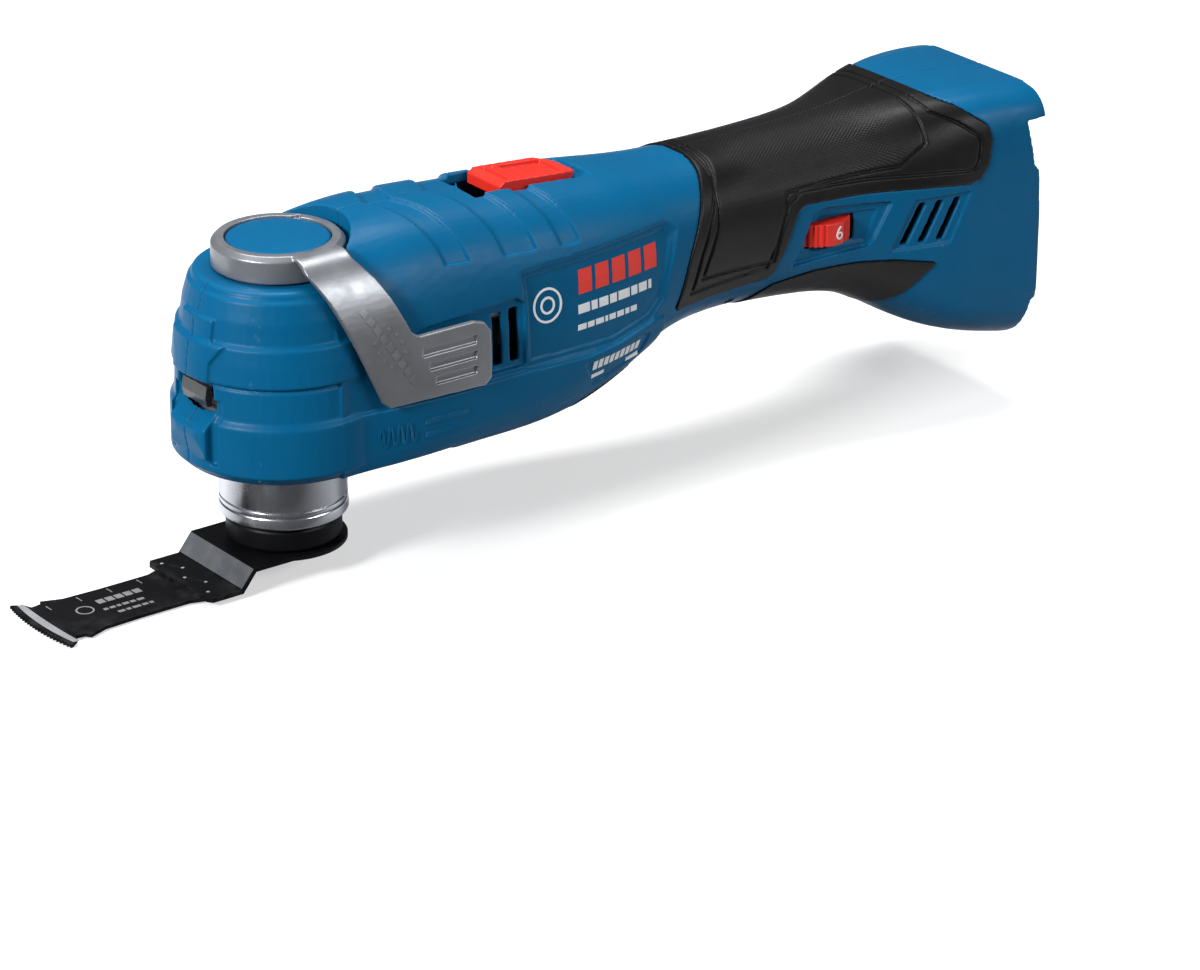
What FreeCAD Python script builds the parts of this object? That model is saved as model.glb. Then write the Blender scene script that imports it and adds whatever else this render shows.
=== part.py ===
import FreeCAD, Part
import math
import os

# Cordless oscillating multi tool, without its battery pack.  Millimetres, +Z up.
# Origin: the spindle axis at the top plane of the saw blade's mounting plate.
# +X runs from the spindle to the battery end, the lever side is -Y.

os.makedirs("parts", exist_ok=True)
V = FreeCAD.Vector
GAP = 0.05            # running and fitting clearance on a radius
WALL = 2.4            # thickness of the moulded housing
SECTION_POINTS = 40   # points interpolated round one housing section

# ---- driving dimensions -------------------------------------------------------
HEAD_TOP = 82.4       # shoulder of the head that the lever ring turns above
HEAD_BOTTOM = 26.6    # underside of the head
FOOT_END = 259.5      # rear edge of the battery foot
RING_R = 19.0         # release lever ring
RING_TOP = 90.8
NECK_R = 12.9         # fixed neck the lever ring turns on
COLLAR_R = 18.45      # neck collar
SPINDLE_R = 9.0
ROD_R = 4.0           # clamp rod inside the spindle
MOTOR_Z = 56.0        # height of the motor axis
STATOR_R = 22.5
STATOR_X0, STATOR_X1 = 48.0, 80.0
SHAFT_R = 4.0
ECCENTRIC = 0.6       # offset of the eccentric journal
ECC_X0, ECC_X1 = 15.0, 21.0
PLATE_R = 18.2        # round end of the blade carrier
PLATE_T = 1.2
BLADE_T = 1.0
BLADE_DROP = 5.6      # how far the crank lowers the saw blade
SWITCH_X0, SWITCH_X1 = 71.0, 102.0
SWITCH_TRAVEL = 8.0
DIAL_X, DIAL_Y, DIAL_Z0, DIAL_Z1 = 183.5, -13.4, 53.6, 60.6
DIAL_R = 11.0
NOSE_RISE = 1.0       # height of the raised shield on the nose
GROOVE = 1.0          # width of the border lines in the soft grip
CHANNEL_DEPTH = 1.2   # channels across the top of the motor housing
LABEL_DEPTH = 1.2     # floor of the label panel below the skin
BAY_X = 243.0         # floor of the battery bay

# housing sections: x, half width, top, bottom, widest height, exponents above and below
SECTIONS = [
    (0, 30.6, 94.0, 24.4, 45, 2.5, 7.0),
    (22, 30.9, 94.0, 24.4, 45, 2.8, 7.0),
    (52, 30.9, 93.4, 24.2, 45, 2.8, 5.5),
    (82, 30.3, 91.4, 24.4, 46, 2.8, 4.0),
    (104, 28.6, 89.4, 28.8, 50, 2.7, 2.9),
    (124, 25.2, 87.2, 34.2, 57, 2.5, 2.5),
    (150, 22.4, 86.2, 36.0, 61, 2.4, 2.4),
    (176, 22.5, 86.5, 34.4, 60, 2.4, 2.5),
    (197, 24.6, 87.5, 30.4, 57, 2.7, 2.8),
    (215, 29.2, 90.0, 20.4, 51, 3.6, 3.3),
    (232, 31.9, 91.3, 12.6, 46, 5.0, 4.0),
    (246, 32.9, 90.8, 9.2, 45, 6.0, 4.6),
    (FOOT_END, 33.2, 89.4, 8.0, 45, 6.4, 5.0),
]

# head profile: radius, height (stepped bands under the lever ring)
HEAD_PROFILE = [
    (0, HEAD_BOTTOM), (28.4, HEAD_BOTTOM), (31.5, 29.6), (31.5, 43.9), (30.2, 45.6),
    (29.9, 54.6), (29.2, 55.0), (29.2, 55.5), (30.8, 56.2), (30.2, 62.0), (29.4, 66.9),
    (28.2, 67.8), (27.3, 74.0), (25.7, 79.6), (24.7, 80.3), (24.3, 81.7), (23.2, HEAD_TOP),
    (0, HEAD_TOP),
]


# ---- plain builders ----------------------------------------------------------
def box(x0, x1, y0, y1, z0, z1):
    return Part.makeBox(x1 - x0, y1 - y0, z1 - z0, V(x0, y0, z0))


def zcyl(r, z0, z1, x=0.0, y=0.0):
    return Part.makeCylinder(r, z1 - z0, V(x, y, z0), V(0, 0, 1))


def xcyl(r, x0, x1, y=0.0, z=MOTOR_Z):
    return Part.makeCylinder(r, x1 - x0, V(x0, y, z), V(1, 0, 0))


def ycyl(r, y0, y1, x, z):
    return Part.makeCylinder(r, y1 - y0, V(x, y0, z), V(0, 1, 0))


def ztube(r_out, r_in, z0, z1, x=0.0, y=0.0):
    return zcyl(r_out, z0, z1, x, y).cut(zcyl(r_in, z0 - 1, z1 + 1, x, y))


def xtube(r_out, r_in, x0, x1, y=0.0, z=MOTOR_Z):
    return xcyl(r_out, x0, x1, y, z).cut(xcyl(r_in, x0 - 1, x1 + 1, y, z))


def xz(points):
    return [V(p[0], 0, p[1]) for p in points]


def face_of(vectors):
    return Part.Face(Part.makePolygon(vectors + [vectors[0]]))


def prism_xz(points, y0, y1):
    face = face_of([V(p[0], y0, p[1]) for p in points])
    return face.extrude(V(0, y1 - y0, 0))


def prism_xy(points, z0, z1):
    face = face_of([V(p[0], p[1], z0) for p in points])
    return face.extrude(V(0, 0, z1 - z0))


def prism_yz(points, x0, x1):
    face = face_of([V(x0, p[0], p[1]) for p in points])
    return face.extrude(V(x1 - x0, 0, 0))


def grown_prism_xz(points, grow, y0, y1):
    face = face_of([V(p[0], y0, p[1]) for p in points])
    if grow:
        face = face.makeOffset2D(grow, 2)
    return face.extrude(V(0, y1 - y0, 0))


def turned(points):
    """Solid of revolution about the spindle axis from (radius, height) points."""
    return face_of(xz(points)).revolve(V(0, 0, 0), V(0, 0, 1), 360)


def joined(shapes):
    result = shapes[0]
    for shape in shapes[1:]:
        result = result.fuse(shape)
    return result


def group(shapes):
    return Part.makeCompound(shapes)


def chamfered_box(x0, x1, y0, y1, z0, z1, size):
    solid = box(x0, x1, y0, y1, z0, z1)
    return solid.makeChamfer(size, solid.Edges)


def save(name, shape):
    if not shape.isValid():
        print("INVALID", name)
    print(name, len(shape.Solids), round(shape.Volume, 1))
    shape.exportStep("parts/" + name + ".step")


# ---- housing ------------------------------------------------------------------
def section_wire(x, half, top, bottom, mid, n_top, n_bottom, inset):
    """Closed super-ellipse with its own exponent above and below the widest height."""
    points = []
    for k in range(SECTION_POINTS):
        angle = 2 * math.pi * (k + 0.5) / SECTION_POINTS
        c = math.cos(angle)
        s = math.sin(angle)
        n = n_top if s > 0 else n_bottom
        height = (top - mid if s > 0 else mid - bottom) - inset
        y = math.copysign((half - inset) * abs(c) ** (2 / n), c)
        z = mid + math.copysign(height * abs(s) ** (2 / n), s)
        points.append(V(x, y, z))
    marks = [k / SECTION_POINTS for k in range(SECTION_POINTS + 1)]
    curve = Part.BSplineCurve()
    curve.interpolate(Points=points, PeriodicFlag=True, Parameters=marks)
    return Part.Wire([curve.toShape()])


def body_loft(inset):
    return Part.makeLoft([section_wire(*section, inset) for section in SECTIONS], True, False)


def head_solid(inset):
    points = []
    for r, z in HEAD_PROFILE:
        z = min(max(z, HEAD_BOTTOM + inset), HEAD_TOP - inset)
        points.append((max(r - inset, 0), z))
    clean = [points[0]]
    for p in points[1:]:
        if abs(p[0] - clean[-1][0]) + abs(p[1] - clean[-1][1]) > 0.01:
            clean.append(p)
    return turned(clean)


LEVER_OUTLINE = [
    (-6.6, 95.0), (-6.6, 87.2), (-2.4, 79.6), (12.4, 47.4), (14.6, 45.6), (47.4, 44.7),
    (49.6, 46.6), (49.6, 60.8), (47.6, 63.6), (44.0, 64.6), (25.2, 64.6), (22.6, 66.4),
    (17.6, 77.0), (14.0, 83.0), (9.4, 88.6), (9.4, 95.0),
]
LEVER_SKIN = [(-16.0, 90.6), (-19.6, 90.4), (-22.0, 89.3), (-25.2, 86.3), (-28.9, 80.0),
              (-32.0, 70.0), (-33.0, 62.0), (-33.3, 54.0), (-33.4, 42.0)]
LEVER_T = 1.8
GRIP_OUTLINE = [
    (122.6, 47.7), (128.4, 63.5), (133.3, 73.2), (136.5, 79.4), (139.0, 83.6), (140.2, 86.0),
    (141.0, 96.0), (222.0, 96.0), (223.8, 90.6), (229.0, 88.2), (236.8, 82.2), (238.0, 77.7),
    (236.4, 69.9), (233.0, 65.8), (229.0, 65.2), (220.2, 66.0), (195.7, 67.4), (173.0, 68.0),
    (170.6, 66.6), (162.4, 48.4), (160.4, 46.8), (145.8, 46.5), (124.0, 46.6),
]
GRIP_PANEL = [(142.4, 96.0), (141.6, 84.0), (139.0, 69.0), (131.9, 54.0), (162.0, 52.2),
              (164.4, 63.0), (167.4, 72.4), (206.7, 73.6), (216.0, 79.4), (217.0, 96.0)]
LOWER_GRIP_OUTLINE = [
    (151.0, 28.0), (160.0, 41.2), (164.0, 43.8), (178.0, 45.4), (192.3, 45.4), (206.0, 44.3),
    (218.6, 41.8), (214.7, 38.4), (209.2, 32.0), (203.5, 26.0), (198.0, 20.0), (151.0, 20.0),
]
BELLY_OUTLINE = [(80.0, 10.0), (84.0, 28.2), (103.0, 33.4), (107.0, 33.4), (110.0, 10.0)]
LABEL_OUTLINE = [(65.2, 46.6), (65.2, 71.6), (118.6, 73.2), (121.2, 71.2), (115.4, 53.6),
                 (110.6, 49.4), (96.0, 46.2)]
TAG_OUTLINE = [(88.0, 33.4), (84.5, 41.2), (97.0, 42.0), (107.6, 44.6), (111.2, 43.8),
               (108.0, 38.0)]
SKIRT_OUTLINE = [(-36.0, 18.0), (-36.0, 44.6), (62.0, 44.2), (86.0, 43.4), (99.0, 44.6),
                 (112.0, 47.6), (117.0, 47.0), (118.0, 43.0), (106.0, 18.0)]
POCKET_OUTLINE = [(20.0, 46.4), (20.0, 62.6), (30.0, 65.4), (61.4, 66.6), (64.0, 64.6),
                  (64.0, 46.0)]
DIAL_OUTLINE = [(169.6, 48.6), (176.2, 64.4), (180.0, 65.4), (204.0, 63.4), (203.0, 61.4),
                (198.4, 52.6), (196.0, 50.2)]
DIAL_INNER = [(176.0, 51.6), (179.0, 62.6), (200.0, 61.4), (196.0, 52.0)]
VENT_OUTLINE = [(203.6, 47.4), (210.8, 62.8), (230.4, 62.8), (223.4, 47.4)]
FOOT_REAR = [(262.0, 80.7), (251.9, 80.7), (254.3, 66.6), (256.3, 64.4), (257.1, 49.0),
             (257.0, 22.7), (255.4, 21.7), (253.7, 12.0), (252.6, 0.0), (262.0, 0.0)]

BOSSES = [(37.0, 87.2), (48.0, 30.0), (76.0, 30.0), (118.0, 44.4), (124.6, 79.8),
          (150.0, 41.0), (205.0, 36.0), (212.0, 82.6), (233.0, 19.6), (234.0, 83.2)]
BOSS_R = 3.3
SCREW_R = 1.4


def nose_ridge():
    """Raised shield on the front of the head, wide above and narrow above the lamp window."""
    shield = prism_yz([(-8.6, 55.8), (-8.6, 61.6), (-12.6, 67.4), (-7.4, 67.4), (-7.4, 73.6),
                       (7.4, 73.6), (7.4, 67.4), (12.6, 67.4), (8.6, 61.6), (8.6, 55.8)], -40, -15)
    return head_solid(-NOSE_RISE).common(shield)


def outer_body():
    """Outside shape of the whole housing before it is hollowed."""
    skirt = body_loft(-1.0).common(prism_xz(SKIRT_OUTLINE, -50, 50))
    body = joined([body_loft(0), skirt, head_solid(0), nose_ridge()])
    body = body.cut(box(-1, 11, -50, 50, HEAD_TOP, 100))
    body = body.cut(zcyl(RING_R + 1.2, HEAD_TOP, 100))
    body = body.cut(box(-1, 40, -50, 50, 20, HEAD_BOTTOM))
    body = body.cut(prism_xz(FOOT_REAR, -50, 50))
    return body


def lever_pocket():
    """Room cut in the housing for the lever arm, wider than the arm all round."""
    inner = [(p[0] + LEVER_T + 0.7, p[1] - 0.4) for p in LEVER_SKIN]
    inner[-1] = (inner[-1][0], 20.0)
    path = [(-60.0, 95.0), (inner[0][0], 95.0)] + inner + [(-60.0, 20.0)]
    reach = prism_yz(path, -20, 70)
    return reach.common(grown_prism_xz(LEVER_OUTLINE, 0.9, -60, -8))


def top_channels():
    """Chevron channels across the top of the motor housing that run out down its sides."""
    cuts = []
    for x_front, x_back in ((29.0, 37.5), (49.5, 61.0), (69.5, 76.5)):
        slope = 10.0
        side = [(x_front, 0), (x_back, 0), (x_back + slope, 26), (x_front + slope, 26)]
        cuts.append(prism_xy(side, 77, 100))
        cuts.append(prism_xy([(p[0], -p[1]) for p in side], 77, 100))
    floor = body_loft(0)
    floor.translate(V(0, 0, -CHANNEL_DEPTH))
    return joined(cuts).cut(floor)


def led_window():
    window = box(-40, -24.5, -8.5, 8.5, 43.0, 54.6)
    corner = prism_xy([(-40, -13.0), (-27.5, -8.5), (-24.5, -8.5), (-24.5, 8.5), (-27.5, 8.5),
                       (-40, 13.0)], 43.0, 54.6)
    return window.fuse(corner)


def nose_scoop():
    """Beak under the lamp window: two facets falling outward to a lip."""
    lip = prism_xz([(-24.0, 50.0), (-32.4, 41.2), (-32.7, 39.4), (-31.4, 33.0), (-24.0, 33.0)],
                   -8.6, 8.6)
    return lip.common(zcyl(32.9, 30, 52))


def nose_grooves():
    """Upright grooves either side of the beak."""
    band = head_solid(-0.5).cut(head_solid(1.5))
    sides = box(-40, -22, -11.6, -8.6, 31.5, 50.6).fuse(box(-40, -22, 8.6, 11.6, 31.5, 50.6))
    return band.common(sides)


def shell_features(body, skin1, skin2):
    """Recesses common to both half shells, cut into the outside."""
    frame = grown_prism_xz(LABEL_OUTLINE, 1.8, -50, 50)
    label = prism_xz(LABEL_OUTLINE, -50, 50)
    tag = prism_xz(TAG_OUTLINE, -50, 50)
    body = body.cut(frame.cut(body_loft(LABEL_DEPTH / 2))).cut(label.cut(body_loft(LABEL_DEPTH)))
    body = body.cut(tag.cut(body_loft(-0.3)))
    body = body.cut(prism_xz(POCKET_OUTLINE, -50, 50).cut(skin2))
    body = body.cut(top_channels()).cut(nose_grooves())
    body = body.cut(prism_xz(DIAL_OUTLINE, -50, 0).cut(skin2))
    body = body.cut(prism_xz(DIAL_INNER, -50, 0).cut(body_loft(2.2)))
    vent_frame = prism_xz(VENT_OUTLINE, -50, 50)
    return body.cut(vent_frame.cut(skin1))


def vents():
    cuts = []
    for x0 in (53.0, 59.0):
        cuts.append(box(x0, x0 + 3.2, -50, 50, 47.6, 63.6))
    for x0 in (206.8, 212.6, 218.6):
        cuts.append(prism_xz([(x0, 48.8), (x0 + 2.6, 48.8), (x0 + 8.8, 61.4), (x0 + 6.2, 61.4)],
                             -50, 50))
    for x0 in (88.0, 93.0, 98.0):
        cuts.append(box(x0, x0 + 2.4, 10, 50, 52, 66))
    return joined(cuts)


def battery_bay():
    """Cavity behind the foot; open on the +Y side so that the pack can slide in."""
    bay = box(BAY_X, 270, -28.5, 60, 16, 76)
    rails = joined([box(250.0, 253.4, -28.5, 60, 16, 19.2), box(250.0, 253.4, -28.5, 60, 72.8, 76)])
    return bay.cut(rails)


def housing():
    outer = outer_body()
    skin1 = body_loft(0.8)
    skin2 = body_loft(1.5)
    inner_body = body_loft(WALL + 0.6).common(box(0, BAY_X - 2.4, -60, 60, 0, 100))
    inner = inner_body.fuse(head_solid(WALL))
    inner = inner.cut(box(-1, 9, -50, 50, HEAD_TOP - WALL, 100))
    inner = inner.cut(zcyl(RING_R + 3.2, HEAD_TOP - WALL, 100))
    inner = inner.cut(box(-1, 42, -50, 50, 10, HEAD_BOTTOM + WALL))
    outer = shell_features(outer, skin1, skin2)
    outer = outer.cut(lever_pocket()).cut(led_window()).fuse(nose_scoop())
    shell = outer.cut(inner)
    shell = shell.cut(battery_bay()).cut(vents())
    shell = shell.cut(zcyl(COLLAR_R + 0.25, 20, 32))
    shell = shell.cut(zcyl(17.7, 78, 84))
    bosses = joined([ycyl(BOSS_R, -30, 30, x, z) for x, z in BOSSES])
    shell = shell.fuse(bosses.common(outer))
    # slot of the slide switch: a shallow tray with a narrower opening below
    tray = box(SWITCH_X0 - SWITCH_TRAVEL - 1.6, SWITCH_X1 + 1.0, -9.0, 9.0, 88.2, 100)
    slot = box(SWITCH_X0 - SWITCH_TRAVEL - 0.4, SWITCH_X1 - 3.0, -6.0, 6.0, 80, 100)
    shell = shell.cut(tray).cut(slot)
    # recesses that the soft grips are bonded into
    shell = shell.cut(grown_prism_xz(GRIP_OUTLINE, 0.1, -50, 50).cut(body_loft(1.5)))
    shell = shell.cut(grown_prism_xz(LOWER_GRIP_OUTLINE, 0.1, -50, 50).cut(body_loft(1.5)))
    shell = shell.cut(grown_prism_xz(BELLY_OUTLINE, 0.1, -50, 50).cut(body_loft(1.2)))
    # window of the speed dial and the pocket it turns in
    shell = shell.cut(box(174.6, 192.4, -40, -10, DIAL_Z0 - 0.5, DIAL_Z1 + 0.5))
    shell = shell.cut(zcyl(DIAL_R + 0.5, DIAL_Z0 - 0.5, DIAL_Z1 + 0.5, DIAL_X, DIAL_Y))
    rests = joined([
        box(84, 87, -28, 28, 28, 34), box(42, 44.4, -28, 28, 28, 33), box(140, 143, -20, 20, 38, 42),
        box(184, 187, -22, 22, 36, 42), box(140, 143, -16, 16, 79, 86), box(184, 187, -16, 16, 80, 86),
    ])
    shell = shell.fuse(rests.common(body_loft(1.7)))
    left = shell.common(box(-60, 280, -60, 0, -10, 110))
    right = shell.common(box(-60, 280, 0, 60, -10, 110))
    for x, z in BOSSES:
        left = left.cut(ycyl(SCREW_R + GAP, -16, 1, x, z))
        right = right.cut(ycyl(SCREW_R + 0.2, -1, 60, x, z))
        right = right.cut(ycyl(2.7, 8.0, 60, x, z))
    save("housing_left", largest(left))
    save("housing_right", largest(right))


def largest(shape):
    """The one connected body of a half shell, without slivers cut loose from it."""
    return max(shape.Solids, key=lambda solid: solid.Volume)


def housing_screws():
    screws = []
    for x, z in BOSSES:
        shank = ycyl(SCREW_R, -14, 8.0, x, z)
        head = ycyl(2.5, 8.0, 10.4, x, z)
        drive = ycyl(1.0, 9.2, 11.0, x, z)
        screws.append(shank.fuse(head).cut(drive))
    save("housing_screws", group(screws))


def soft_grips():
    ridge = body_loft(-0.5)
    core = body_loft(1.4)
    sheet = ridge.cut(core)
    grip = sheet.common(prism_xz(GRIP_OUTLINE, -50, 50))
    # border lines: one groove inside the edge of the grip and one round its palm panel
    for outline, inset in ((GRIP_OUTLINE, 3.8), (GRIP_PANEL, 0.0)):
        band = grown_prism_xz(outline, -inset, -50, 50)
        band = band.cut(grown_prism_xz(outline, -inset - GROOVE, -50, 50))
        grip = grip.cut(band.cut(body_loft(0.2)))
    save("grip_left", largest(grip.common(box(0, 280, -60, -0.03, 0, 110))))
    save("grip_right", largest(grip.common(box(0, 280, 0.03, 60, 0, 110))))
    lower = sheet.common(prism_xz(LOWER_GRIP_OUTLINE, -50, 50))
    save("lower_grip_left", largest(lower.common(box(0, 280, -60, -0.03, 0, 110))))
    save("lower_grip_right", largest(lower.common(box(0, 280, 0.03, 60, 0, 110))))
    pad = body_loft(-1.2).cut(body_loft(1.1)).common(prism_xz(BELLY_OUTLINE, -50, 50))
    save("belly_pad", largest(pad))


# ---- head: cap, lever, cam, plunger ---------------------------------------------
def top_cap():
    dome = turned([(0, 85.6), (14.9, 85.6), (14.9, 90.0), (14.2, 90.5), (9.0, 90.9), (0, 91.1)])
    hollow = zcyl(NECK_R + 0.1, 85, 87.6)
    stem = ztube(9.4, 7.6, 83.0, 88.0)
    cap = dome.cut(hollow).fuse(stem)
    save("top_cap", cap)


def lever_strip():
    """Bent strip of the arm: two smooth curves, LEVER_T apart, drawn out along X."""
    inner = [(p[0] + LEVER_T, p[1] - 0.35 * LEVER_T) for p in LEVER_SKIN]
    inner[-1] = (inner[-1][0], LEVER_SKIN[-1][1])
    edges = []
    for points in (LEVER_SKIN, inner):
        curve = Part.BSplineCurve()
        curve.interpolate([V(-20, y, z) for y, z in points])
        edges.append(curve.toShape())
    ends = [Part.makeLine(V(-20, *LEVER_SKIN[k]), V(-20, *inner[k])) for k in (0, -1)]
    outline = Part.Wire(Part.sortEdges(edges + ends)[0])
    return Part.Face(outline).extrude(V(80, 0, 0))


def release_lever():
    ring = turned([(NECK_R + GAP, 82.8), (17.4, 82.8), (17.4, 83.0), (RING_R, 83.0),
                   (RING_R, 89.4), (17.6, RING_TOP), (15.2, RING_TOP), (15.2, 85.3),
                   (NECK_R + GAP, 85.3)])
    strip = lever_strip()
    arm = strip.common(prism_xz(LEVER_OUTLINE, -60, -10))
    arm = arm.cut(zcyl(16.4, 80, 95))
    for k in range(3):
        z = 59.4 - 4.6 * k
        x = 26.0 + 2.2 * k
        arm = arm.cut(box(x, 44.6, -40, -32.4, z - 1.2, z + 1.2))
    notch = joined([box(-1.2, 1.2, -15.6, -14.0, 89.6, 92), box(11.0, 14.0, 8.0, 10.0, 89.6, 92)])
    lever = ring.fuse(arm).cut(notch).removeSplitter()
    save("release_lever", largest(lever))


def release_cam():
    """Ring below the lever whose two helical-like ramps press the plunger down."""
    mid_height = 75.6
    slope = 1.305 / 15.0
    reach = 30.0
    ramp = [(-reach, 60.0), (reach, 60.0), (reach, mid_height - slope * reach),
            (-reach, mid_height + slope * reach)]
    half_a = prism_yz(ramp, 0, reach)
    half_b = prism_yz([(-p[0], p[1]) for p in ramp], -reach, 0)
    ramps = half_a.fuse(half_b)
    ramps.rotate(V(0, 0, 0), V(0, 0, 1), -40)
    cam = ztube(17.2, NECK_R + GAP, 73.2, 82.75).cut(ramps)
    save("release_cam", largest(cam))


PIN_Z = 74.85


def release_plunger():
    disc = zcyl(9.4, 72.4, 78.0).cut(zcyl(6.0, 75.0, 79.0))
    pin = ycyl(1.5, -16.6, 16.6, 0, PIN_Z)
    tip = zcyl(3.4, 71.6, 73.0)
    save("release_plunger", joined([disc, pin, tip]))


def gear_housing():
    """Cast cup round the spindle with the neck that carries the lever ring."""
    cup = turned([(0, 33.2), (23.6, 33.2), (24.6, 36.0), (24.6, 66.0), (23.0, 70.6),
                  (NECK_R, 71.2), (NECK_R, 86.6), (0, 86.6)])
    cavity = turned([(0, 33.2), (16.2, 33.2), (16.2, 36.0), (21.0, 38.0), (21.0, 64.0),
                     (19.0, 66.0), (12.0, 66.4), (12.0, 69.8), (9.5, 69.8), (9.5, 88.0), (0, 88.0)])
    cup = cup.cut(cavity)
    carrier = ztube(22.0, 12.02 + GAP, 62.8, 66.4).common(cup.fuse(zcyl(21.5, 60, 70)))
    cup = cup.fuse(carrier)
    cup = cup.cut(box(10, 30, -14.5, 14.5, 43.0, 68.6))
    cup = cup.cut(box(-1.7, 1.7, -20, 20, 70.9, 76.7))
    for k in range(4):
        a = math.radians(45 + 90 * k)
        cup = cup.cut(zcyl(1.5, 33.0, 43.0, 20.0 * math.cos(a), 20.0 * math.sin(a)))
    for k in range(10):
        a = 36.0 * k + 18
        if 60 < a < 300:
            rib = box(24.0, 25.4, -0.8, 0.8, 37, 62)
            rib.rotate(V(0, 0, 0), V(0, 0, 1), a)
            cup = cup.fuse(rib)
    save("gear_housing", largest(cup))


def gearbox_screws():
    screws = []
    for k in range(4):
        a = math.radians(45 + 90 * k)
        x = 20.0 * math.cos(a)
        y = 20.0 * math.sin(a)
        screw = zcyl(1.45, 31.6, 42.0, x, y).fuse(zcyl(2.4, 29.8, 31.6, x, y))
        screws.append(screw.cut(zcyl(1.0, 29.0, 30.8, x, y)))
    save("gearbox_screws", group(screws))


# ---- neck and spindle -------------------------------------------------------------
def neck_parts():
    tube = turned([(16.05 + GAP, 12.1), (COLLAR_R, 12.1), (COLLAR_R, 29.4), (23.4, 29.4),
                   (23.4, 33.1), (12.0, 33.1), (12.0, 30.6), (16.05 + GAP, 30.6)])
    spigot = ztube(16.9, 14.5, 9.0, 14.0)
    groove = ztube(20.0, COLLAR_R - 0.5, 13.2, 13.9)
    neck = tube.fuse(spigot).cut(groove)
    for k in range(4):
        a = math.radians(45 + 90 * k)
        x = 20.0 * math.cos(a)
        y = 20.0 * math.sin(a)
        neck = neck.cut(zcyl(1.6, 28, 34, x, y)).cut(zcyl(2.6, 28, 31.6, x, y))
    save("neck_collar", neck)
    ring = turned([(17.0, 7.9), (17.9, 7.9), (18.65, 8.7), (18.65, 11.4), (18.2, 12.0), (17.0, 12.0)])
    save("collar_ring", ring)
    seal = turned([(10.2, 9.4), (14.4, 9.4), (14.4, 12.4), (12.4, 12.4), (11.6, 10.6), (10.2, 10.4)])
    save("dust_seal", seal)


def ball_row(mid_r, ball_r, count, x=None, z=None, phase=0.0, y=0.0):
    """Balls of one bearing; about Z when x is None, else about a line along X."""
    balls = []
    for k in range(count):
        a = 2 * math.pi * (k + phase) / count
        if x is None:
            centre = V(mid_r * math.cos(a), mid_r * math.sin(a), z)
        else:
            centre = V(x, y + mid_r * math.cos(a), z + mid_r * math.sin(a))
        balls.append(Part.makeSphere(ball_r, centre))
    return balls


def raced(tube, mid_r, ball_r, centre, axis):
    """Cut the ball track of a bearing ring."""
    return tube.cut(Part.makeTorus(mid_r, ball_r + GAP, centre, axis))


def spindle_parts():
    z0, z1 = 20.0, 29.0
    mid = (z0 + z1) / 2
    outer = raced(ztube(16.05, 14.0, z0, z1), 13.0, 2.0, V(0, 0, mid), V(0, 0, 1))
    inner = raced(ztube(12.0, 10.1, z0, z1), 13.0, 2.0, V(0, 0, mid), V(0, 0, 1))
    save("spindle_bearing_outer", outer)
    save("spindle_bearing_inner", inner)
    save("spindle_bearing_balls", group(ball_row(13.0, 2.0, 14, z=mid)))
    save("needle_bush", ztube(12.0, SPINDLE_R + GAP, 63.0, 69.4).cut(ztube(10.4, 9.6, 64.0, 68.4)))
    body = turned([(0, 7.0), (10.0, 7.0), (10.0, 29.2), (11.4, 29.2), (11.4, 30.2), (SPINDLE_R, 32.0),
                   (SPINDLE_R, 69.5), (0, 69.5)])
    bore = zcyl(ROD_R + 0.3, 0, 80)
    chamber = zcyl(7.0, 40.0, 80)
    save("spindle", body.cut(bore).cut(chamber))
    rod = zcyl(ROD_R, -0.6, 71.0).fuse(zcyl(6.6, 62.0, 64.0))
    save("clamp_rod", rod)
    jaws = []
    for side in (-1, 1):
        jaw = turned([(4.1, -0.8), (7.0, -0.8), (7.2, 1.2), (7.2, 3.3), (4.1, 3.3)])
        jaw = jaw.common(box(-8, 8, min(0.7 * side, 8 * side), max(0.7 * side, 8 * side), -2, 6))
        jaws.append(jaw)
    save("clamp_jaws", group(jaws))


def clamp_spring():
    wire_r = 0.9
    helix = Part.makeHelix(3.3, 19.8, 5.5)
    profile = Part.Wire([Part.makeCircle(wire_r, V(5.5, 0, 0), V(0, 1, 0))])
    coil = Part.Wire(helix.Edges).makePipeShell([profile], True, True)
    coil.translate(V(0, 0, 41.0))
    save("clamp_spring", coil)


def star(r_tip, r_root, z):
    points = []
    for k in range(24):
        r = r_tip if k % 2 == 0 else r_root
        a = math.pi * (k + 1) / 12
        points.append(V(r * math.cos(a), r * math.sin(a), z))
    return Part.makePolygon(points + [points[0]])


def crown(grow, z0, z1):
    """Twelve-pointed star frustum shared by the holder's recess and the carrier's dish."""
    return Part.makeLoft([star(14.2 + grow, 12.6 + grow, z0), star(12.2 + grow, 10.8 + grow, z1)],
                         True, True)


def tool_holder():
    cup = turned([(0, 0.15), (15.6, 0.15), (16.7, 1.4), (16.7, 6.4), (16.0, 7.4), (12.4, 7.4),
                  (12.4, 7.6), (10.0, 7.6), (0, 7.6)])
    cup = cup.cut(zcyl(10.05, 6.95, 9))
    cup = cup.cut(crown(0.2, -0.01, 4.4)).cut(zcyl(ROD_R + 0.3, -1, 9))
    save("tool_holder", cup)


CRANK_X0, CRANK_X1 = -20.5, -25.0
CARRIER_END = -36.4
CARRIER_HALF = 16.4


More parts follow.
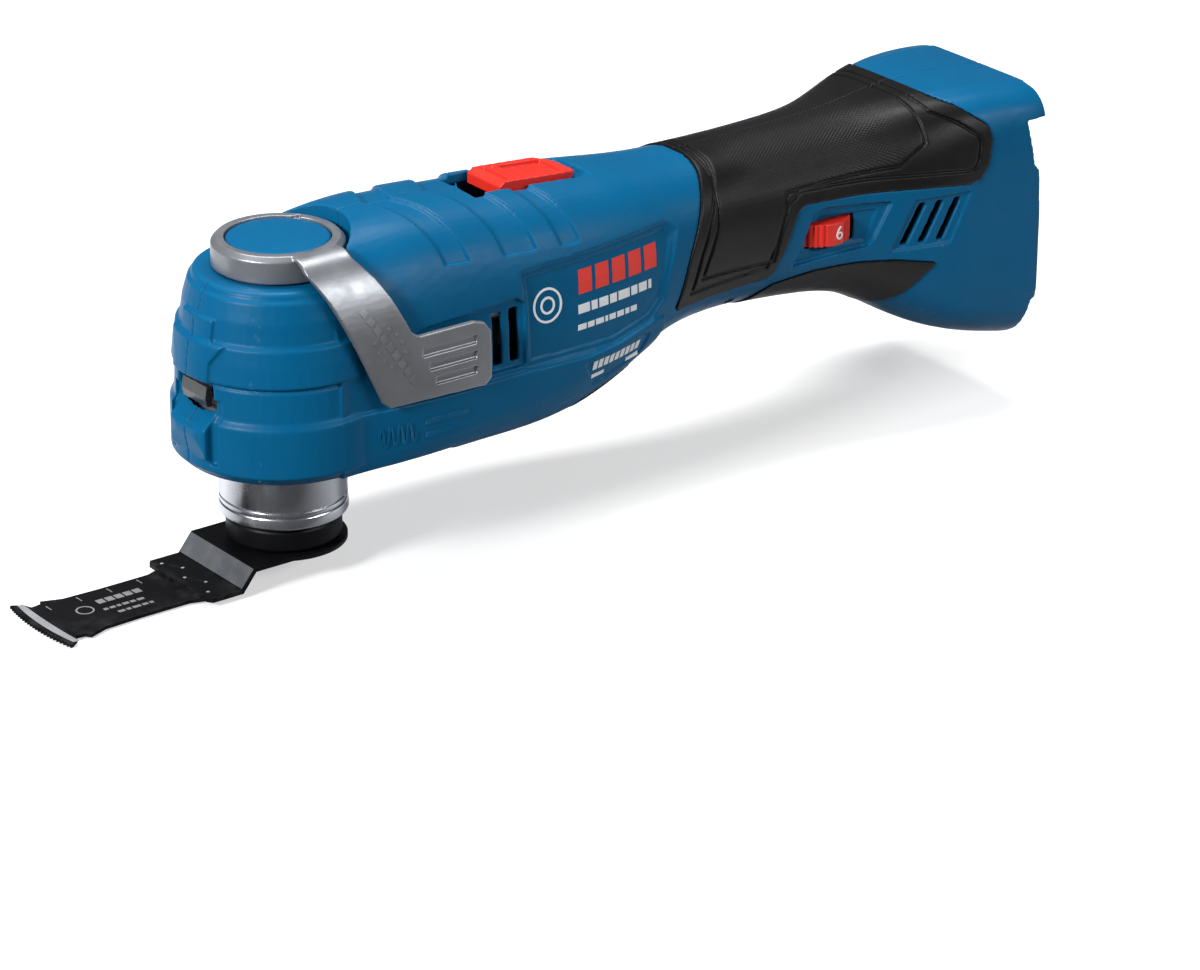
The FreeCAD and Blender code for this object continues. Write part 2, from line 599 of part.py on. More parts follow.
def blade_carrier():
    """Mounting plate with a pressed star dish and a cranked end, one piece of steel."""
    down = -PLATE_T
    side = [(10.0, down), (CRANK_X0, down), (CRANK_X1, down - BLADE_DROP),
            (CARRIER_END, down - BLADE_DROP), (CARRIER_END, -BLADE_DROP),
            (CRANK_X1 - 0.5, -BLADE_DROP), (CRANK_X0 - 0.5, 0), (10.0, 0)]
    strip = prism_xz(side, -CARRIER_HALF, CARRIER_HALF)
    corners = [(CARRIER_END, -CARRIER_HALF + 1.6), (CARRIER_END + 1.2, -CARRIER_HALF),
               (-6.0, -CARRIER_HALF), (8.0, -16.3), (8.0, 16.3), (-6.0, CARRIER_HALF),
               (CARRIER_END + 1.2, CARRIER_HALF), (CARRIER_END, CARRIER_HALF - 1.6)]
    strip = strip.common(prism_xy(corners, -20, 10))
    plate = strip.fuse(zcyl(PLATE_R, down, 0))
    dish = crown(0.0, -0.2, 4.2).cut(crown(-1.2, -0.3, 3.3))
    plate = plate.cut(crown(-1.2, -5, 3.3).common(zcyl(20, -5, -0.1))).fuse(dish)
    plate = plate.cut(crown(-1.2, -0.3, 3.3)).cut(prism_xy(
        [(11 * math.cos(math.pi * k / 6), 11 * math.sin(math.pi * k / 6)) for k in range(12)], -3, 0))
    plate = plate.cut(zcyl(6.2, 2, 8))
    for x, y in ((-33.4, 13.0), (-33.4, 1.0), (-33.4, -11.0), (-30.2, 7.0), (-30.2, -5.0)):
        plate = plate.cut(zcyl(0.7, -BLADE_DROP - 0.35, -BLADE_DROP + 1, x, y))
    save("blade_carrier", plate.removeSplitter())


def saw_blade():
    """Shank with depth notches and a flared, toothed, gently curved cutting edge."""
    half = 10.9
    tip_half = 16.0
    edge_x = -83.6
    bow = 1.6
    top = -BLADE_DROP - PLATE_T
    right = [(-27.0, 12.4), (-35.0, 12.4), (-39.5, half), (-56.0, half), (-67.6, 11.4), (-73.6, 13.6),
             (-74.6, 12.0), (-77.6, 11.6), (-78.4, 14.0), (-81.2, tip_half), (edge_x + bow, tip_half)]
    teeth = []
    count = 22
    for k in range(1, 2 * count):
        y = tip_half - k * tip_half / count
        arc = edge_x + bow * (y / tip_half) ** 2
        teeth.append((arc + (0.9 if k % 2 else 0.0), y))
    left = [(p[0], -p[1]) for p in reversed(right)]
    blade = prism_xy(right + teeth + left, top - BLADE_T, top)
    for k in range(4):
        x = -44.0 - 10.0 * k
        blade = blade.cut(box(x - 0.3, x + 0.3, 8.6, 10.2, top - 0.2, top + 1))
    save("saw_blade", blade)


# ---- drive and motor ---------------------------------------------------------------
def drive_fork():
    hub = ztube(13.2, SPINDLE_R + GAP, 48.0, 61.6)
    arms = []
    for side in (-1, 1):
        y0, y1 = sorted((side * 9.35, side * 12.8))
        arms.append(box(2, 21.6, y0, y1, 49.0, 61.0))
    fork = joined([hub] + arms).cut(zcyl(SPINDLE_R + GAP, 40, 70))
    fork = fork.cut(xcyl(9.45, 13.9, 30))
    save("drive_fork", fork)


def eccentric_bearing():
    mid = (ECC_X0 + ECC_X1) / 2
    y = ECCENTRIC
    centre = V(mid, y, MOTOR_Z)
    outer = raced(xtube(8.0, 6.6, ECC_X0, ECC_X1, y), 5.75, 1.1, centre, V(1, 0, 0))
    inner = raced(xtube(4.9, 3.0 + GAP, ECC_X0, ECC_X1, y), 5.75, 1.1, centre, V(1, 0, 0))
    save("eccentric_bearing_outer", outer)
    save("eccentric_bearing_inner", inner)
    save("eccentric_bearing_balls", group(ball_row(5.75, 1.1, 10, x=mid, z=MOTOR_Z, y=y)))


FRONT_BEARING = (36.0, 42.0)
REAR_BEARING = (94.0, 100.0)


def rotor_parts():
    shaft = joined([xcyl(SHAFT_R, 22.6, 101.0), xcyl(3.0, 14.4, 23.0, ECCENTRIC),
                    xcyl(4.6, 21.3, 24.0, ECCENTRIC / 2)])
    save("rotor_shaft", shaft)
    weight = xtube(9.0, SHAFT_R + GAP, 25.0, 33.5).cut(box(24, 34, 2.0, 12, 40, 70))
    save("counterweight", weight.cut(xcyl(SHAFT_R + GAP, 24, 35)))
    outer = []
    inner = []
    balls = []
    for x0, x1 in (FRONT_BEARING, REAR_BEARING):
        mid = (x0 + x1) / 2
        outer.append(raced(xtube(9.0, 7.8, x0, x1), 6.5, 1.7, V(mid, 0, MOTOR_Z), V(1, 0, 0)))
        inner.append(raced(xtube(5.2, SHAFT_R + GAP, x0, x1), 6.5, 1.7, V(mid, 0, MOTOR_Z), V(1, 0, 0)))
        balls += ball_row(6.5, 1.7, 8, x=mid, z=MOTOR_Z)
    save("motor_bearing_outers", group(outer))
    save("motor_bearing_inners", group(inner))
    save("motor_bearing_balls", group(balls))
    core = xtube(9.4, SHAFT_R + GAP, STATOR_X0 + 2, STATOR_X1 - 2)
    save("rotor_core", core)
    magnets = []
    for k in range(4):
        ring = xtube(11.2, 9.45, STATOR_X0 + 2, STATOR_X1 - 2)
        wedge = box(40, 90, 0.4, 14, 0.4, 14)
        wedge.translate(V(0, 0, MOTOR_Z))
        wedge.rotate(V(0, 0, MOTOR_Z), V(1, 0, 0), 90 * k)
        magnets.append(ring.common(wedge))
    save("rotor_magnets", group(magnets))
    hub = xtube(6.4, SHAFT_R + GAP, 84.0, 91.0)
    disc = xtube(19.0, 6.0, 84.0, 85.4)
    blades = []
    for k in range(11):
        blade = box(85.0, 90.6, -0.6, 0.6, 6.8, 18.6)
        blade.translate(V(0, 0, MOTOR_Z))
        blade.rotate(V(0, 0, MOTOR_Z + 12), V(0, 0, 1), 18)
        blade.rotate(V(0, 0, MOTOR_Z), V(1, 0, 0), 360.0 * k / 11)
        blades.append(blade)
    fan = joined([hub, disc] + blades).common(xcyl(19.0, 84.0, 91.0))
    save("fan", largest(fan.cut(xcyl(SHAFT_R + GAP, 80, 95))))


def stator_parts():
    core = xtube(STATOR_R, 18.6, STATOR_X0, STATOR_X1)
    teeth = []
    coils = []
    for k in range(6):
        tooth = box(STATOR_X0, STATOR_X1, -2.6, 2.6, 11.9, 18.8)
        shoe = box(STATOR_X0, STATOR_X1, -5.0, 5.0, 11.9, 13.4)
        coil = box(STATOR_X0 - 2.2, STATOR_X1 + 2.2, -4.9, 4.9, 13.6, 17.8)
        coil = coil.cut(box(STATOR_X0 - 0.3, STATOR_X1 + 0.3, -2.75, 2.75, 10, 20))
        for part in (tooth, shoe, coil):
            part.translate(V(0, 0, MOTOR_Z))
            part.rotate(V(0, 0, MOTOR_Z), V(1, 0, 0), 60 * k)
        teeth += [tooth, shoe]
        coils.append(coil)
    core = joined([core] + teeth).cut(xcyl(11.7, 40, 90))
    save("motor_stator", core)
    save("motor_windings", group(coils))
    front = joined([xtube(11.0, 9.1, 35.0, 42.4), xtube(STATOR_R, 10.0, 42.4, 44.2),
                    xtube(STATOR_R, STATOR_R - 1.6, 43.0, STATOR_X0 - 0.1)])
    front = front.cut(joined([box(30, 50, -3.5, 3.5, MOTOR_Z + 12, MOTOR_Z + 19)] +
                             [box(30, 50, -3.5, 3.5, MOTOR_Z - 19, MOTOR_Z - 12)]))
    save("motor_front_shield", front)
    rear = joined([xtube(11.0, 9.1, 93.0, 100.4), xtube(STATOR_R, 10.0, 98.4, 100.4),
                   xtube(STATOR_R, STATOR_R - 1.6, 93.0, 99.0)])
    posts = []
    for k in range(4):
        post = box(STATOR_X1 + 0.1, 94.0, -2.2, 2.2, STATOR_R - 1.4, STATOR_R - 0.3)
        post.translate(V(0, 0, MOTOR_Z))
        post.rotate(V(0, 0, MOTOR_Z), V(1, 0, 0), 45 + 90 * k)
        posts.append(post)
    save("motor_rear_shield", joined([rear] + posts))
    board = xtube(17.0, 8.4, 44.9, 45.6).cut(box(40, 50, -20, 20, 30, MOTOR_Z - 6))
    save("sensor_board", largest(board.common(box(40, 50, -20, 20, MOTOR_Z - 6, 90))))


def dampers():
    """Rubber blocks that hold the drive unit clear of the housing."""
    blocks = []
    for side in (-1, 1):
        y0, y1 = sorted((side * 22.7, side * 26.4))
        for x0 in (52, 68):
            blocks.append(chamfered_box(x0, x0 + 8, y0, y1, 52, 60, 0.6))
    save("vibration_dampers", group(blocks))


# ---- electronics ---------------------------------------------------------------------
def electronics():
    board = box(126, 200, -12, 12, 46.0, 47.6)
    chips = [box(132 + 9 * k, 137 + 9 * k, 3, 9, 47.6, 49.6) for k in range(6)]
    shunt = box(150, 156, -9, -4, 47.6, 49.2)
    save("control_board", joined([board, shunt] + chips))
    save("power_capacitor", joined([xcyl(5.0, 144, 164, 6, 57.0), box(143.4, 144.4, 5, 7, 52, 53)]))
    save("switch_module", chamfered_box(101, 122, -6, 6, 62, 72, 0.6))
    save("potentiometer", joined([zcyl(4.0, 48.6, 52.0, DIAL_X, DIAL_Y),
                                  box(DIAL_X - 5, DIAL_X + 5, DIAL_Y - 4, DIAL_Y + 5, 47.7, 48.8)]))
    led = box(-25.4, -24.6, -6, 6, 47, 53).fuse(box(-27.0, -25.2, -1.5, 1.5, 48.6, 51.6))
    save("led_board", led)
    lens = prism_xz([(-27.1, 53.6), (-27.1, 47.6), (-28.6, 47.6), (-29.4, 50.2), (-28.8, 53.6)], -6, 6)
    save("led_lens", lens)
    block = box(BAY_X + 0.05, BAY_X + 9.0, -19, 19, 36, 56)
    for z in (40, 46, 52):
        block = block.cut(box(BAY_X + 4.0, BAY_X + 10, -15, 20, z - 1.6, z + 1.6))
    save("terminal_block", block)
    blades = [box(BAY_X + 4.02, BAY_X + 8.6, -12, 12, z - 0.4, z + 0.4) for z in (40, 46, 52)]
    feet = [box(BAY_X + 4.02, BAY_X + 4.6, -12, 12, z - 1.5, z + 1.5) for z in (40, 46, 52)]
    save("contact_blades", group([b.fuse(f) for b, f in zip(blades, feet)]))


def tube_path(points, r):
    """Round wire through the given points with a smooth centre line."""
    curve = Part.BSplineCurve()
    curve.interpolate([V(*p) for p in points])
    spine = Part.Wire([curve.toShape()])
    start = curve.value(curve.FirstParameter)
    tangent = curve.tangent(curve.FirstParameter)[0]
    profile = Part.Wire([Part.makeCircle(r, start, tangent)])
    return spine.makePipeShell([profile], True, True)


def wires():
    power = [tube_path([(239.6, s * 8, 48), (230, s * 8, 52), (216, s * 9, 56), (201.2, s * 8.6, 51)], 1.5)
             for s in (-1, 1)]
    save("power_wires", group(power))
    motor = [tube_path([(101.4, s, 58.6), (112, s, 55.0), (122, s * 0.9, 51.6), (130, s * 0.8, 49.4)], 1.2)
             for s in (-8, 0, 8)]
    save("motor_wires", group(motor))


# ---- controls ---------------------------------------------------------------------------
def switch_parts():
    side = [(SWITCH_X0, 88.3), (SWITCH_X0, 91.6), (SWITCH_X0 + 2.0, 93.0), (SWITCH_X1 - 8, 91.4),
            (SWITCH_X1 - 2.0, 89.9), (SWITCH_X1, 88.3)]
    plan = [(SWITCH_X0, -8.0), (SWITCH_X1 - 8.0, -8.0), (SWITCH_X1 - 4.0, -6.6),
            (SWITCH_X1 - 1.2, -3.6), (SWITCH_X1, 0.0), (SWITCH_X1 - 1.2, 3.6),
            (SWITCH_X1 - 4.0, 6.6), (SWITCH_X1 - 8.0, 8.0), (SWITCH_X0, 8.0)]
    button = prism_xz(side, -8, 8).common(prism_xy(plan, 80, 100))
    dish = prism_xz([(SWITCH_X0 + 8.5, 94), (SWITCH_X0 + 9.5, 91.1), (SWITCH_X1 - 7.0, 89.7),
                     (SWITCH_X1 - 5.6, 94)], -5.8, 5.8)
    button = button.cut(dish)
    for k in range(2):
        x = SWITCH_X0 + 3.4 + 3.0 * k
        button = button.cut(box(x, x + 1.3, -6.2, 6.2, 92.0, 96))
    stem = box(SWITCH_X0 + 6, SWITCH_X1 - 12, -4.5, 4.5, 84.4, 88.6)
    foot = box(SWITCH_X0 + 6, SWITCH_X1 - 8, -5.6, 5.6, 82.6, 84.6)
    save("switch_button", joined([button, stem, foot]))
    rod = box(SWITCH_X1 - 12, 116.5, -1.8, 1.8, 80.6, 82.4)
    fork = box(110.6, 111.8, -2.5, 2.5, 73.0, 80.8).fuse(box(116.4, 117.6, -2.5, 2.5, 73.0, 82.4))
    save("switch_link_rod", rod.fuse(fork))
    save("switch_slider", box(112, 116, -3, 3, 72.05, 75))


def speed_dial():
    wheel = zcyl(DIAL_R, DIAL_Z0, DIAL_Z1, DIAL_X, DIAL_Y)
    for k in range(36):
        a = 2 * math.pi * k / 36
        if abs(math.degrees(a) - 270) > 16:
            x = DIAL_X + DIAL_R * math.cos(a)
            y = DIAL_Y + DIAL_R * math.sin(a)
            wheel = wheel.cut(zcyl(0.55, DIAL_Z0 - 1, DIAL_Z1 + 1, x, y))
    hub = zcyl(2.2, 52.05, DIAL_Z0 + 0.5, DIAL_X, DIAL_Y)
    save("speed_dial", wheel.fuse(hub))


housing()
housing_screws()
soft_grips()
top_cap()
release_lever()
release_cam()
release_plunger()
gear_housing()
gearbox_screws()
neck_parts()
spindle_parts()
clamp_spring()
tool_holder()
blade_carrier()
saw_blade()
drive_fork()
eccentric_bearing()
rotor_parts()
stator_parts()
dampers()
electronics()
wires()
switch_parts()
speed_dial()
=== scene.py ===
import math
import bpy
import bmesh
from mathutils import Matrix, Vector
from mathutils.bvhtree import BVHTree


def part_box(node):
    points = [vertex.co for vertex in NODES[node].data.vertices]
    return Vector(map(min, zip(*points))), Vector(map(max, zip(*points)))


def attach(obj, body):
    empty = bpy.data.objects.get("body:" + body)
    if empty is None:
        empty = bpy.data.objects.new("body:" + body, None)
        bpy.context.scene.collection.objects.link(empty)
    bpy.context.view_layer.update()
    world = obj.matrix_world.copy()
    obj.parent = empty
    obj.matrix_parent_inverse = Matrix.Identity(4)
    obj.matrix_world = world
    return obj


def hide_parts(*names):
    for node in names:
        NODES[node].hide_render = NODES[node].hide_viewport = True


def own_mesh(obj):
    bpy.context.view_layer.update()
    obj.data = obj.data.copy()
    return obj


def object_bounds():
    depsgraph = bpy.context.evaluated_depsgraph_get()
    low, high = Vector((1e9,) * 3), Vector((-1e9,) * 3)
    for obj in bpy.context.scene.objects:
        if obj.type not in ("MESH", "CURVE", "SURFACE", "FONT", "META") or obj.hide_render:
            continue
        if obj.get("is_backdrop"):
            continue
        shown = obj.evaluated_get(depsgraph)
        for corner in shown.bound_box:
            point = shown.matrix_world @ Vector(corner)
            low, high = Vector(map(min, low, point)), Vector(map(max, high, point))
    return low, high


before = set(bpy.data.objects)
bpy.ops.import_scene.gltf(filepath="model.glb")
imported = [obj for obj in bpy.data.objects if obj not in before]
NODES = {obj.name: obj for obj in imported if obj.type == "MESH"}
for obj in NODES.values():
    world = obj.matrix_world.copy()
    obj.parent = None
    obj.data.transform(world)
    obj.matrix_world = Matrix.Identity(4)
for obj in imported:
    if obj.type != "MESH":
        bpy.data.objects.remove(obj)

MM = 0.001
FULL_TURN = 2.0 * math.pi
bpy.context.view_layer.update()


def node_box(name):
    """Box of a CAD node in millimetres: (low x, y, z), (high x, y, z)."""
    low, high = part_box(name)
    return [v / MM for v in low], [v / MM for v in high]


def circle_points(x, y, radius, count):
    """Points round a circle, as (x, y) pairs."""
    turns = [FULL_TURN * k / count for k in range(count)]
    return [(x + radius * math.cos(turn), y + radius * math.sin(turn)) for turn in turns]


def add_to_scene(obj):
    bpy.context.scene.collection.objects.link(obj)
    return obj


# ---- materials ------------------------------------------------------------------
def new_material(name):
    material = bpy.data.materials.new(name)
    material.use_nodes = True
    tree = material.node_tree
    shader = tree.nodes["Principled BSDF"]
    coord = tree.nodes.new("ShaderNodeTexCoord")
    return material, tree, shader, coord.outputs["Object"]


def noise(tree, vector, period_mm, detail=3.0, rough=0.5):
    node = tree.nodes.new("ShaderNodeTexNoise")
    node.inputs["Scale"].default_value = 1.0 / (period_mm * MM)
    node.inputs["Detail"].default_value = detail
    node.inputs["Roughness"].default_value = rough
    tree.links.new(vector, node.inputs["Vector"])
    return node.outputs["Fac"]


def math_node(tree, operation, a, b=None):
    node = tree.nodes.new("ShaderNodeMath")
    node.operation = operation
    for k, value in enumerate((a, b)):
        if value is None:
            continue
        if isinstance(value, (int, float)):
            node.inputs[k].default_value = value
        else:
            tree.links.new(value, node.inputs[k])
    return node.outputs[0]


def ranged(tree, value, low, high, to_low, to_high):
    node = tree.nodes.new("ShaderNodeMapRange")
    node.clamp = True
    tree.links.new(value, node.inputs["Value"])
    node.inputs["From Min"].default_value = low
    node.inputs["From Max"].default_value = high
    node.inputs["To Min"].default_value = to_low
    node.inputs["To Max"].default_value = to_high
    return node.outputs["Result"]


def mixed(tree, factor, a, b):
    node = tree.nodes.new("ShaderNodeMix")
    node.data_type = "RGBA"
    if isinstance(factor, (int, float)):
        node.inputs["Factor"].default_value = factor
    else:
        tree.links.new(factor, node.inputs["Factor"])
    for k, value in ((6, a), (7, b)):
        if isinstance(value, tuple):
            node.inputs[k].default_value = value + (1.0,)
        else:
            tree.links.new(value, node.inputs[k])
    return node.outputs[2]


def add_bump(tree, shader, height, strength, distance_mm):
    bump = tree.nodes.new("ShaderNodeBump")
    bump.inputs["Strength"].default_value = strength
    bump.inputs["Distance"].default_value = distance_mm * MM
    tree.links.new(height, bump.inputs["Height"])
    tree.links.new(bump.outputs["Normal"], shader.inputs["Normal"])


def shade(colour, factor):
    return tuple(min(c * factor, 1.0) for c in colour)


def surface(name, colour, rough, metallic=0.0, grain_mm=0.35, grain_depth=0.02, vary=0.12,
            wear=0.25, shine=0.5, stretch=None):
    """Procedural finish: patchy tone, uneven roughness, grain bump and rubbed edges."""
    material, tree, shader, where = new_material(name)
    if stretch:
        mapping = tree.nodes.new("ShaderNodeMapping")
        mapping.inputs["Scale"].default_value = stretch
        tree.links.new(where, mapping.inputs["Vector"])
        grain_where = mapping.outputs["Vector"]
    else:
        grain_where = where
    tone = ranged(tree, noise(tree, where, 28.0, 4.0), 0.3, 0.7, 0.0, 1.0)
    body = mixed(tree, tone, shade(colour, 1.0 - vary), shade(colour, 1.0 + vary))
    geometry = tree.nodes.new("ShaderNodeNewGeometry")
    scuff = noise(tree, where, 6.0, 5.0, 0.65)
    edge = ranged(tree, geometry.outputs["Pointiness"], 0.53, 0.62, 0.0, 1.0)
    rubbed = math_node(tree, "MULTIPLY", edge, ranged(tree, scuff, 0.42, 0.62, 0.0, wear))
    pale = tuple(c * 0.6 + 0.22 for c in colour)
    tree.links.new(mixed(tree, rubbed, body, pale), shader.inputs["Base Color"])
    patch = ranged(tree, noise(tree, where, 9.0, 5.0, 0.6), 0.3, 0.7, rough - 0.06, rough + 0.08)
    tree.links.new(patch, shader.inputs["Roughness"])
    shader.inputs["Metallic"].default_value = metallic
    shader.inputs["Specular IOR Level"].default_value = shine
    add_bump(tree, shader, noise(tree, grain_where, grain_mm, 3.0), 0.35, grain_depth)
    return material


DIAMOND_PITCH = 1.5
PALM_FRONT = (0.146, 0.158)
PALM_BACK = (0.196, 0.214)
PALM_LOW = (0.071, 0.078)


def grip_rubber():
    """Black rubber with a fine diamond pattern over the palm area of the handle."""
    material, tree, shader, where = new_material("grip_rubber")
    split = tree.nodes.new("ShaderNodeSeparateXYZ")
    tree.links.new(where, split.inputs[0])
    x, y, z = split.outputs
    around = math_node(tree, "SUBTRACT", z, math_node(tree, "ABSOLUTE", y))
    pitch = DIAMOND_PITCH * MM
    waves = []
    for operation in ("ADD", "SUBTRACT"):
        diagonal = math_node(tree, operation, x, around)
        angle = math_node(tree, "MULTIPLY", diagonal, math.pi / pitch)
        waves.append(math_node(tree, "ABSOLUTE", math_node(tree, "SINE", angle)))
    diamonds = math_node(tree, "MULTIPLY", waves[0], waves[1])
    front = ranged(tree, x, PALM_FRONT[0], PALM_FRONT[1], 0.0, 1.0)
    back = ranged(tree, x, PALM_BACK[0], PALM_BACK[1], 1.0, 0.0)
    high = ranged(tree, z, PALM_LOW[0], PALM_LOW[1], 0.0, 1.0)
    mask = math_node(tree, "MULTIPLY", math_node(tree, "MULTIPLY", front, back), high)
    pattern = math_node(tree, "MULTIPLY", diamonds, mask)
    grain = math_node(tree, "MULTIPLY", noise(tree, where, 0.3, 3.0), 0.18)
    add_bump(tree, shader, math_node(tree, "ADD", pattern, grain), 0.55, 0.16)
    tone = ranged(tree, noise(tree, where, 20.0, 4.0), 0.3, 0.7, 0.0, 1.0)
    dark = mixed(tree, tone, (0.0045, 0.0045, 0.0048), (0.0065, 0.0065, 0.0069))
    # The raised diamonds are painted a little lighter than the lines between them.
    raised_diamonds_lighter = mixed(tree, math_node(tree, "MULTIPLY", pattern, 0.35), dark, (0.02, 0.02, 0.021))
    tree.links.new(raised_diamonds_lighter, shader.inputs["Base Color"])
    patch = ranged(tree, noise(tree, where, 8.0, 5.0, 0.6), 0.3, 0.7, 0.36, 0.46)
    tree.links.new(patch, shader.inputs["Roughness"])
    shader.inputs["Specular IOR Level"].default_value = 0.17
    return material


def clear_lens():
    material, tree, shader, where = new_material("lens_clear")
    shader.inputs["Transmission Weight"].default_value = 0.7
    shader.inputs["IOR"].default_value = 1.49
    # Dark grey tint on the lens: painted shade for the dark recess in the nose that holds it.
    tint = mixed(tree, noise(tree, where, 4.0), (0.05, 0.055, 0.06), (0.09, 0.095, 0.1))
    tree.links.new(tint, shader.inputs["Base Color"])
    rough = ranged(tree, noise(tree, where, 1.5), 0.3, 0.7, 0.1, 0.22)
    tree.links.new(rough, shader.inputs["Roughness"])
    add_bump(tree, shader, noise(tree, where, 0.8), 0.2, 0.02)
    return material


BLUE = (0.0008, 0.093, 0.212)
LOOK = {
    "blue": surface("blue_plastic", BLUE, 0.38, grain_depth=0.01, vary=0.05, wear=0.12, shine=0.11),
    "red": surface("red_plastic", (0.64, 0.024, 0.014), 0.38, grain_depth=0.01, vary=0.05, wear=0.1,
                   shine=0.35),
    "rubber": grip_rubber(),
    "lever": surface("lever_metal", (0.25, 0.26, 0.28), 0.36, 0.65, 0.5, 0.012, 0.05, 0.5),
    "collar": surface("turned_metal", (0.6, 0.62, 0.66), 0.22, 1.0, 0.35, 0.003, 0.03, 0.2,
                      stretch=(0.05, 0.05, 1.0)),
    "cast": surface("cast_aluminium", (0.56, 0.57, 0.58), 0.42, 0.9, 0.8, 0.05, 0.1, 0.4),
    "steel": surface("ground_steel", (0.55, 0.55, 0.57), 0.3, 1.0, 0.3, 0.01, 0.06, 0.4),
    "black_steel": surface("black_oxide", (0.004, 0.004, 0.005), 0.4, 0.0, 0.4, 0.012, 0.15, 0.08,
                           shine=0.12),
    # Brighter metal for the crank face: a painted sheen.
    "crank": surface("crank_painted_sheen", (0.17, 0.18, 0.20), 0.32, 0.6, 0.4, 0.008, 0.1, 0.3),
    "copper": surface("enamel_copper", (0.62, 0.27, 0.11), 0.3, 0.9, 0.4, 0.05, 0.1, 0.3),
    "black_plastic": surface("black_plastic", (0.016, 0.016, 0.017), 0.5, 0.0, 0.4, 0.02, 0.12, 0.2),
    "board": surface("solder_mask", (0.01, 0.14, 0.06), 0.35, 0.0, 0.6, 0.01, 0.1, 0.1),
    "lens": clear_lens(),
    "print_white": surface("white_print", (0.78, 0.80, 0.82), 0.5, 0.0, 0.5, 0.004, 0.03, 0.0),
    "print_red": surface("red_print", (0.72, 0.03, 0.018), 0.5, 0.0, 0.5, 0.004, 0.03, 0.0),
    "print_silver": surface("silver_print", (0.46, 0.47, 0.49), 0.38, 0.6, 0.5, 0.004, 0.05, 0.0),
    "print_etch": surface("laser_etching", (0.22, 0.22, 0.23), 0.5, 0.2, 0.5, 0.004, 0.1, 0.0),
}

WEARS = {
    "blue": ["housing_left", "housing_right", "top_cap"],
    "red": ["switch_button", "speed_dial"],
    "rubber": ["grip_left", "grip_right", "lower_grip_left", "lower_grip_right", "belly_pad",
               "dust_seal", "vibration_dampers"],
    "lever": ["release_lever"],
    "collar": ["neck_collar", "collar_ring"],
    "cast": ["gear_housing", "counterweight", "power_capacitor"],
    "black_steel": ["tool_holder", "blade_carrier", "saw_blade", "rotor_magnets", "housing_screws"],
    "copper": ["motor_windings", "contact_blades"],
    "black_plastic": ["motor_front_shield", "motor_rear_shield", "fan", "switch_module",
                      "terminal_block", "potentiometer", "power_wires", "motor_wires",
                      "switch_link_rod", "switch_slider", "led_board"],
    "board": ["sensor_board", "control_board"],
    "lens": ["led_lens"],
}


def wear(obj, look):
    obj.data.materials.clear()
    obj.data.materials.append(LOOK[look])


def dress_nodes():
    dressed = {name: look for look, names in WEARS.items() for name in names}
    for name, obj in NODES.items():
        wear(obj, dressed.get(name, "steel"))


# ---- rounding the CAD pieces --------------------------------------------------------
def moulded(name, voxel_mm, rounds):
    """Rounded, even skin for a moulded piece: fine remesh, then light smoothing."""
    obj = NODES[name]
    remesh = obj.modifiers.new("skin", "REMESH")
    remesh.mode = "VOXEL"
    remesh.voxel_size = voxel_mm * MM
    remesh.use_smooth_shade = True
    smooth = obj.modifiers.new("soften", "SMOOTH")
    smooth.factor = 0.5
    smooth.iterations = rounds


def machined(name, width_mm, segments=2):
    """Broken edges for a metal piece."""
    obj = NODES[name]
    weld = obj.modifiers.new("weld", "WELD")
    weld.merge_threshold = 0.002 * MM
    bevel = obj.modifiers.new("edges", "BEVEL")
    bevel.width = width_mm * MM
    bevel.segments = segments
    bevel.limit_method = "ANGLE"
    bevel.angle_limit = math.radians(32)
    bevel.use_clamp_overlap = True
    bevel.harden_normals = False


def round_everything():
    coarse = 1.0
    for name in ("housing_left", "housing_right"):
        moulded(name, 0.4 * coarse, 4)
    for name in ("grip_left", "grip_right", "lower_grip_left", "lower_grip_right", "belly_pad"):
        moulded(name, 0.3 * coarse, 4)
    moulded("switch_button", 0.25 * coarse, 4)
    moulded("top_cap", 0.3 * coarse, 3)
    moulded("speed_dial", 0.18 * coarse, 2)
    moulded("release_lever", 0.25 * coarse, 4)
    for name in ("neck_collar", "collar_ring", "tool_holder", "blade_carrier"):
        machined(name, 0.2)


# ---- printed marks that follow the surface under them ----------------------------------
def closed_sheet(name, top, bottom, wraps):
    """Closed thin solid from two equal grids of points; wraps joins the ends of each row."""
    rows = len(top)
    cols = len(top[0])
    verts = [p for row in top for p in row] + [p for row in bottom for p in row]
    shift = rows * cols
    faces = []
    last = cols if wraps else cols - 1
    for r in range(rows - 1):
        for c in range(last):
            a = r * cols + c
            b = r * cols + (c + 1) % cols
            faces.append((a, b, b + cols, a + cols))
            faces.append((a + shift, a + cols + shift, b + cols + shift, b + shift))
    for c in range(last):
        a = c
        b = (c + 1) % cols
        faces.append((a, a + shift, b + shift, b))
        a += (rows - 1) * cols
        b += (rows - 1) * cols
        faces.append((a, b, b + shift, a + shift))
    if not wraps:
        for r in range(rows - 1):
            a = r * cols
            b = a + cols
            faces.append((a, b, b + shift, a + shift))
            a += cols - 1
            b += cols - 1
            faces.append((a, a + shift, b + shift, b))
    mesh = bpy.data.meshes.new(name)
    mesh.from_pydata([tuple(p) for p in verts], [], faces)
    mesh.update()
    work = bmesh.new()
    work.from_mesh(mesh)
    bmesh.ops.recalc_face_normals(work, faces=work.faces)
    work.to_mesh(mesh)
    work.free()
    for polygon in mesh.polygons:
        polygon.use_smooth = False
    obj = bpy.data.objects.new(name, mesh)
    return add_to_scene(obj)


def tree_of(name):
    obj = NODES[name]
    depsgraph = bpy.context.evaluated_depsgraph_get()
    return BVHTree.FromObject(obj, depsgraph)


PRINT_LIFT = 0.12
MOULD_LIFT = 0.28
PRINT_ROOT = 0.25


